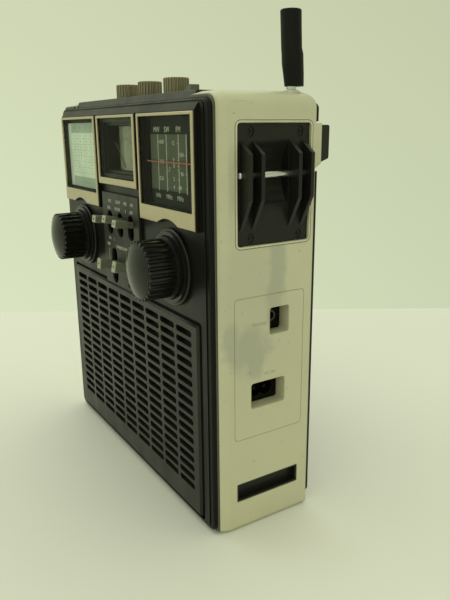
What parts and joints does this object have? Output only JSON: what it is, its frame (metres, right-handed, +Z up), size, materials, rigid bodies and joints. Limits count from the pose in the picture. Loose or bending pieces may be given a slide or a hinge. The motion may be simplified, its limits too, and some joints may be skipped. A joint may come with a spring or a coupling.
{
  "type": "portable three-band radio receiver",
  "caption": "Upright portable multi-band receiver: pale case band, black control face with dial windows, knobs, lever switches, speaker grille, strap brackets and pushed-in telescopic antenna.",
  "frame": {"origin": "on the underside, where the case stands: midway across its width, 31 mm behind the band's front edge (the case is 64.2 mm deep)", "axes": "+Z up along the height, -Y out of the control face, +X towards the connector side (the right, seen from the front)"},
  "size_m": [0.2314, 0.0983, 0.279],
  "materials": {
    "case_cream": "satin paint over moulded plastic, slightly worn at the front edge",
    "shell_black": "satin black moulded plastic",
    "panel_grey": "dark grey finely textured plastic",
    "frame_champagne": "brushed, pale gold anodised",
    "window_clear": "clear moulded window",
    "dial_black": null,
    "chart_pale": "pale printed plate with faint ruled bands",
    "scale_pale": "pale grey-green meter scale",
    "pointer_red": "red",
    "cap_satin": "dark glossy domed cap with faint smears",
    "knob_black": "black moulded plastic",
    "knob_bronze": "bronze-silver plated plastic",
    "lever_grey": "grey moulded plastic with paler worn tips",
    "steel": "bright steel",
    "screw_black": "blackened steel",
    "connector_black": "black moulded plastic",
    "speaker_steel": "pressed and painted steel with its magnet",
    "speaker_paper": "treated paper cone",
    "board": "resin board with its soldered parts",
    "ferrite": "ferrite with wound coils",
    "cells": null,
    "pad_rubber": "black rubber",
    "antenna_chrome": "polished plated tube"
  },
  "bodies": {
    "case": {"case_band": "case_cream", "jack_panel": "case_cream", "front_rim": "shell_black", "front_panel": "shell_black", "rear_cover": "shell_black", "top_deck": "panel_grey", "switch_panel": "panel_grey", "grille_panel": "panel_grey", "window_frame_left": "frame_champagne", "window_frame_centre": "frame_champagne", "window_frame_right": "frame_champagne", "window_lens_left": "window_clear", "window_lens_centre": "window_clear", "window_lens_right": "window_clear", "tuning_dial": "dial_black", "chart_plate": "chart_pale", "meter_hood": "shell_black", "meter_scale": "scale_pale", "switch_block": "connector_black", "speaker_basket": "speaker_steel", "speaker_cone": "speaker_paper", "tuning_ring": "knob_black", "band_ring": "knob_black", "tuning_capacitor": "speaker_steel", "band_switch": "connector_black", "strap_bracket_right": "connector_black", "strap_bracket_left": "connector_black", "strap_pin_right": "steel", "strap_pin_left": "steel", "case_screws": "screw_black", "phone_jack": "connector_black", "power_inlet": "connector_black", "slot_liner": "connector_black", "battery_cells": "cells", "battery_contacts": "steel", "rear_pads": "pad_rubber", "main_board": "board", "ferrite_rod": "ferrite", "antenna_socket": "antenna_chrome"},
    "tuning": {"tuning_knob": "knob_black", "tuning_cap": "cap_satin", "tuning_shaft": "steel"},
    "band_selector": {"band_knob": "knob_black", "band_cap": "cap_satin", "band_shaft": "steel"},
    "pointer": {"dial_pointer": "pointer_red"},
    "volume": {"volume_knob": "knob_bronze"},
    "bass": {"bass_knob": "knob_bronze"},
    "treble": {"treble_knob": "knob_bronze"},
    "light": {"light_key": "lever_grey"},
    "lever_ul": {"lever_upper_left": "lever_grey"},
    "lever_um": {"lever_upper_middle": "lever_grey"},
    "lever_ur": {"lever_upper_right": "lever_grey"},
    "lever_ll": {"lever_lower_left": "lever_grey"},
    "lever_lr": {"lever_lower_right": "lever_grey"},
    "antenna_1": {"antenna_lower": "antenna_chrome"},
    "antenna_2": {"antenna_middle": "antenna_chrome"},
    "antenna_3": {"antenna_tip": "antenna_chrome", "antenna_grip": "pad_rubber"},
    "door": {"battery_door": "shell_black"}
  },
  "joints": [
    {"name": "tuning_turn", "type": "hinge", "parent": "case", "child": "tuning", "pos_m": [0.067, -0.031, 0.1489], "axis": [0, 1, 0], "range_deg": [-540, 540]},
    {"name": "pointer_slide", "type": "slide", "parent": "case", "child": "pointer", "axis": [0, 0, 1], "range_m": [-0.018, 0.018]},
    {"name": "band_turn", "type": "hinge", "parent": "case", "child": "band_selector", "pos_m": [-0.067, -0.031, 0.1489], "axis": [0, 1, 0], "range_deg": [-150, 150]},
    {"name": "volume_turn", "type": "hinge", "parent": "case", "child": "volume", "pos_m": [-0.039, -0.009, 0.245], "axis": [0, 0, 1], "range_deg": [-140, 140]},
    {"name": "bass_turn", "type": "hinge", "parent": "case", "child": "bass", "pos_m": [-0.005, -0.009, 0.245], "axis": [0, 0, 1], "range_deg": [-140, 140]},
    {"name": "treble_turn", "type": "hinge", "parent": "case", "child": "treble", "pos_m": [0.0298, -0.009, 0.245], "axis": [0, 0, 1], "range_deg": [-140, 140]},
    {"name": "light_press", "type": "slide", "parent": "case", "child": "light", "axis": [0, 0, -1], "range_m": [0, 0.0018], "stiffness_N_per_m": 300, "springref_m": -0.001},
    {"name": "lever_ul_tilt", "type": "hinge", "parent": "case", "child": "lever_ul", "pos_m": [-0.0162, -0.023, 0.1637], "axis": [1, 0, 0], "range_deg": [0, 15]},
    {"name": "lever_um_tilt", "type": "hinge", "parent": "case", "child": "lever_um", "pos_m": [0, -0.023, 0.1637], "axis": [1, 0, 0], "range_deg": [-4, 11]},
    {"name": "lever_ur_tilt", "type": "hinge", "parent": "case", "child": "lever_ur", "pos_m": [0.0162, -0.023, 0.1637], "axis": [1, 0, 0], "range_deg": [0, 14]},
    {"name": "lever_ll_tilt", "type": "hinge", "parent": "case", "child": "lever_ll", "pos_m": [-0.012, -0.023, 0.1357], "axis": [1, 0, 0], "range_deg": [-8, 14]},
    {"name": "lever_lr_tilt", "type": "hinge", "parent": "case", "child": "lever_lr", "pos_m": [0.012, -0.023, 0.1357], "axis": [1, 0, 0], "range_deg": [-4, 20]},
    {"name": "antenna_1_slide", "type": "slide", "parent": "case", "child": "antenna_1", "axis": [0, 0, 1], "range_m": [0, 0.1]},
    {"name": "antenna_2_slide", "type": "slide", "parent": "antenna_1", "child": "antenna_2", "axis": [0, 0, 1], "range_m": [0, 0.1]},
    {"name": "antenna_3_slide", "type": "slide", "parent": "antenna_2", "child": "antenna_3", "axis": [0, 0, 1], "range_m": [0, 0.1]},
    {"name": "door_pull", "type": "slide", "parent": "case", "child": "door", "axis": [0, 1, 0], "range_m": [0, 0.015]}
  ],
  "couplings": [
    {"joint": "pointer_slide", "follows": "tuning_turn", "m_per_rad": 0.0019}
  ]
}
